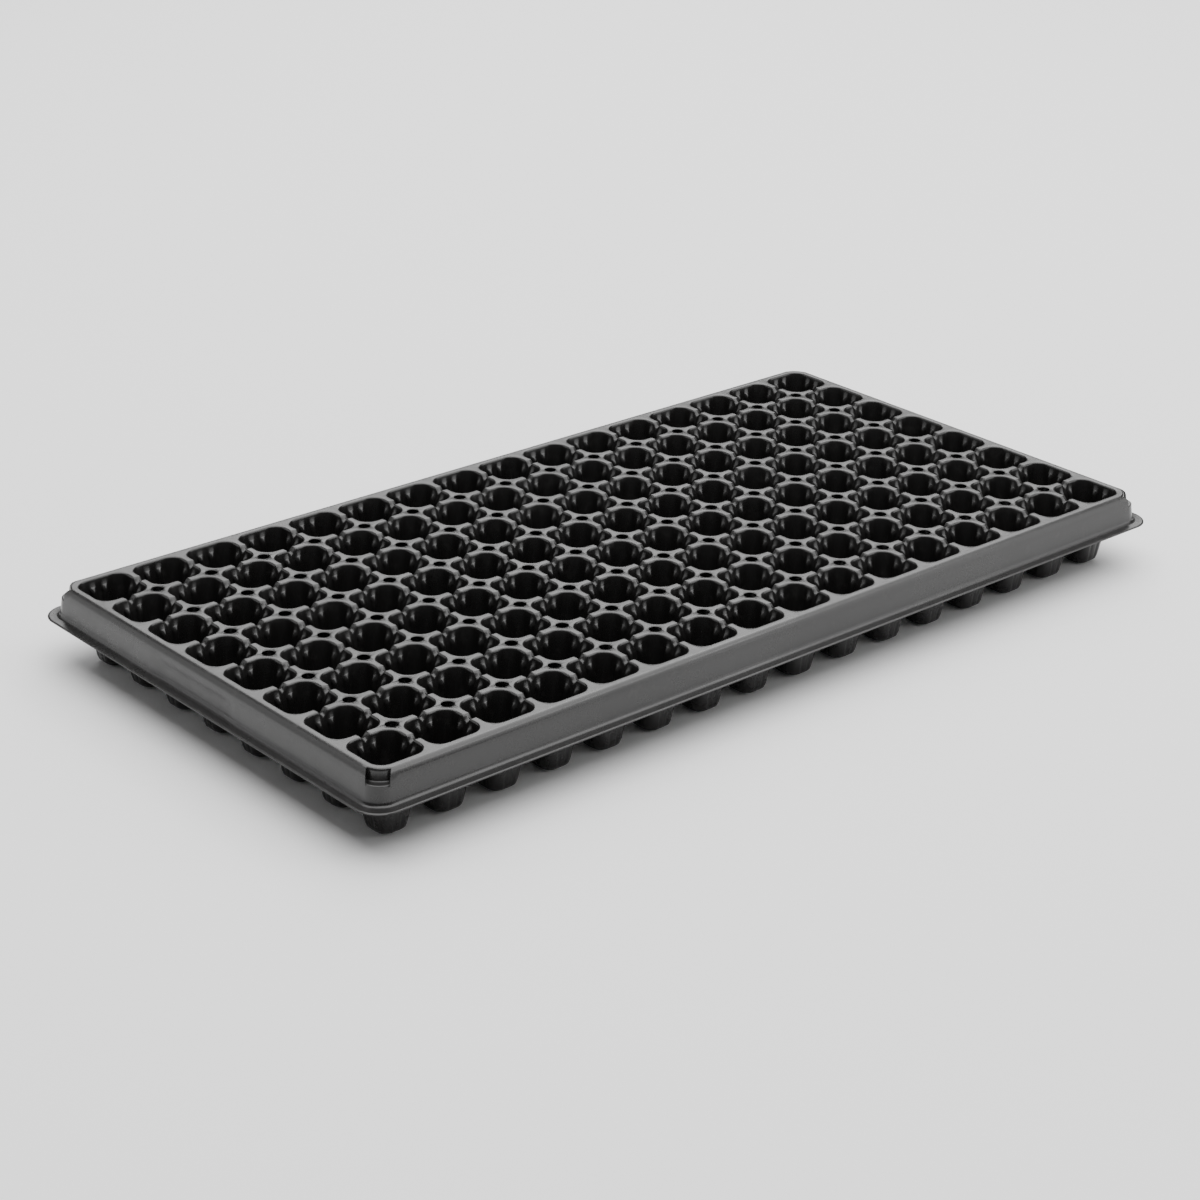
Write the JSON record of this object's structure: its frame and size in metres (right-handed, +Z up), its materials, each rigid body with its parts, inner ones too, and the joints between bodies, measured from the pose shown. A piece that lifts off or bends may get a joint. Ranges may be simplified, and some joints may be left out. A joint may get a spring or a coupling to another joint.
{
  "type": "plug tray",
  "caption": "Shallow black seedling tray: a grid of tapered square cells hung from one thin flanged sheet, with drain holes, vent holes and notched webs.",
  "frame": {"origin": "on the floor under the middle of the tray", "axes": "+X along the tray's length, +Y across its width, +Z up out of the cells"},
  "size_m": [0.54, 0.2816, 0.041],
  "materials": {
    "black_sheet": "satin black vacuum-formed polystyrene sheet"
  },
  "bodies": {
    "root": {"cell_front_walls": "black_sheet", "cell_rear_walls": "black_sheet", "cell_left_walls": "black_sheet", "cell_right_walls": "black_sheet", "cell_front_heels": "black_sheet", "cell_rear_heels": "black_sheet", "cell_left_heels": "black_sheet", "cell_right_heels": "black_sheet", "cell_floors": "black_sheet", "lengthwise_webs": "black_sheet", "crosswise_webs": "black_sheet", "web_crossings": "black_sheet", "web_ends_front": "black_sheet", "web_ends_rear": "black_sheet", "web_ends_left": "black_sheet", "web_ends_right": "black_sheet", "border_front": "black_sheet", "border_rear": "black_sheet", "border_left": "black_sheet", "border_right": "black_sheet", "border_front_left": "black_sheet", "border_front_right": "black_sheet", "border_rear_left": "black_sheet", "border_rear_right": "black_sheet", "skirt_front": "black_sheet", "skirt_rear": "black_sheet", "skirt_left": "black_sheet", "skirt_right": "black_sheet", "skirt_front_left": "black_sheet", "skirt_front_right": "black_sheet", "skirt_rear_left": "black_sheet", "skirt_rear_right": "black_sheet", "flange_front": "black_sheet", "flange_rear": "black_sheet", "flange_left": "black_sheet", "flange_right": "black_sheet", "flange_front_left": "black_sheet", "flange_front_right": "black_sheet", "flange_rear_left": "black_sheet", "flange_rear_right": "black_sheet"}
  },
  "joints": []
}
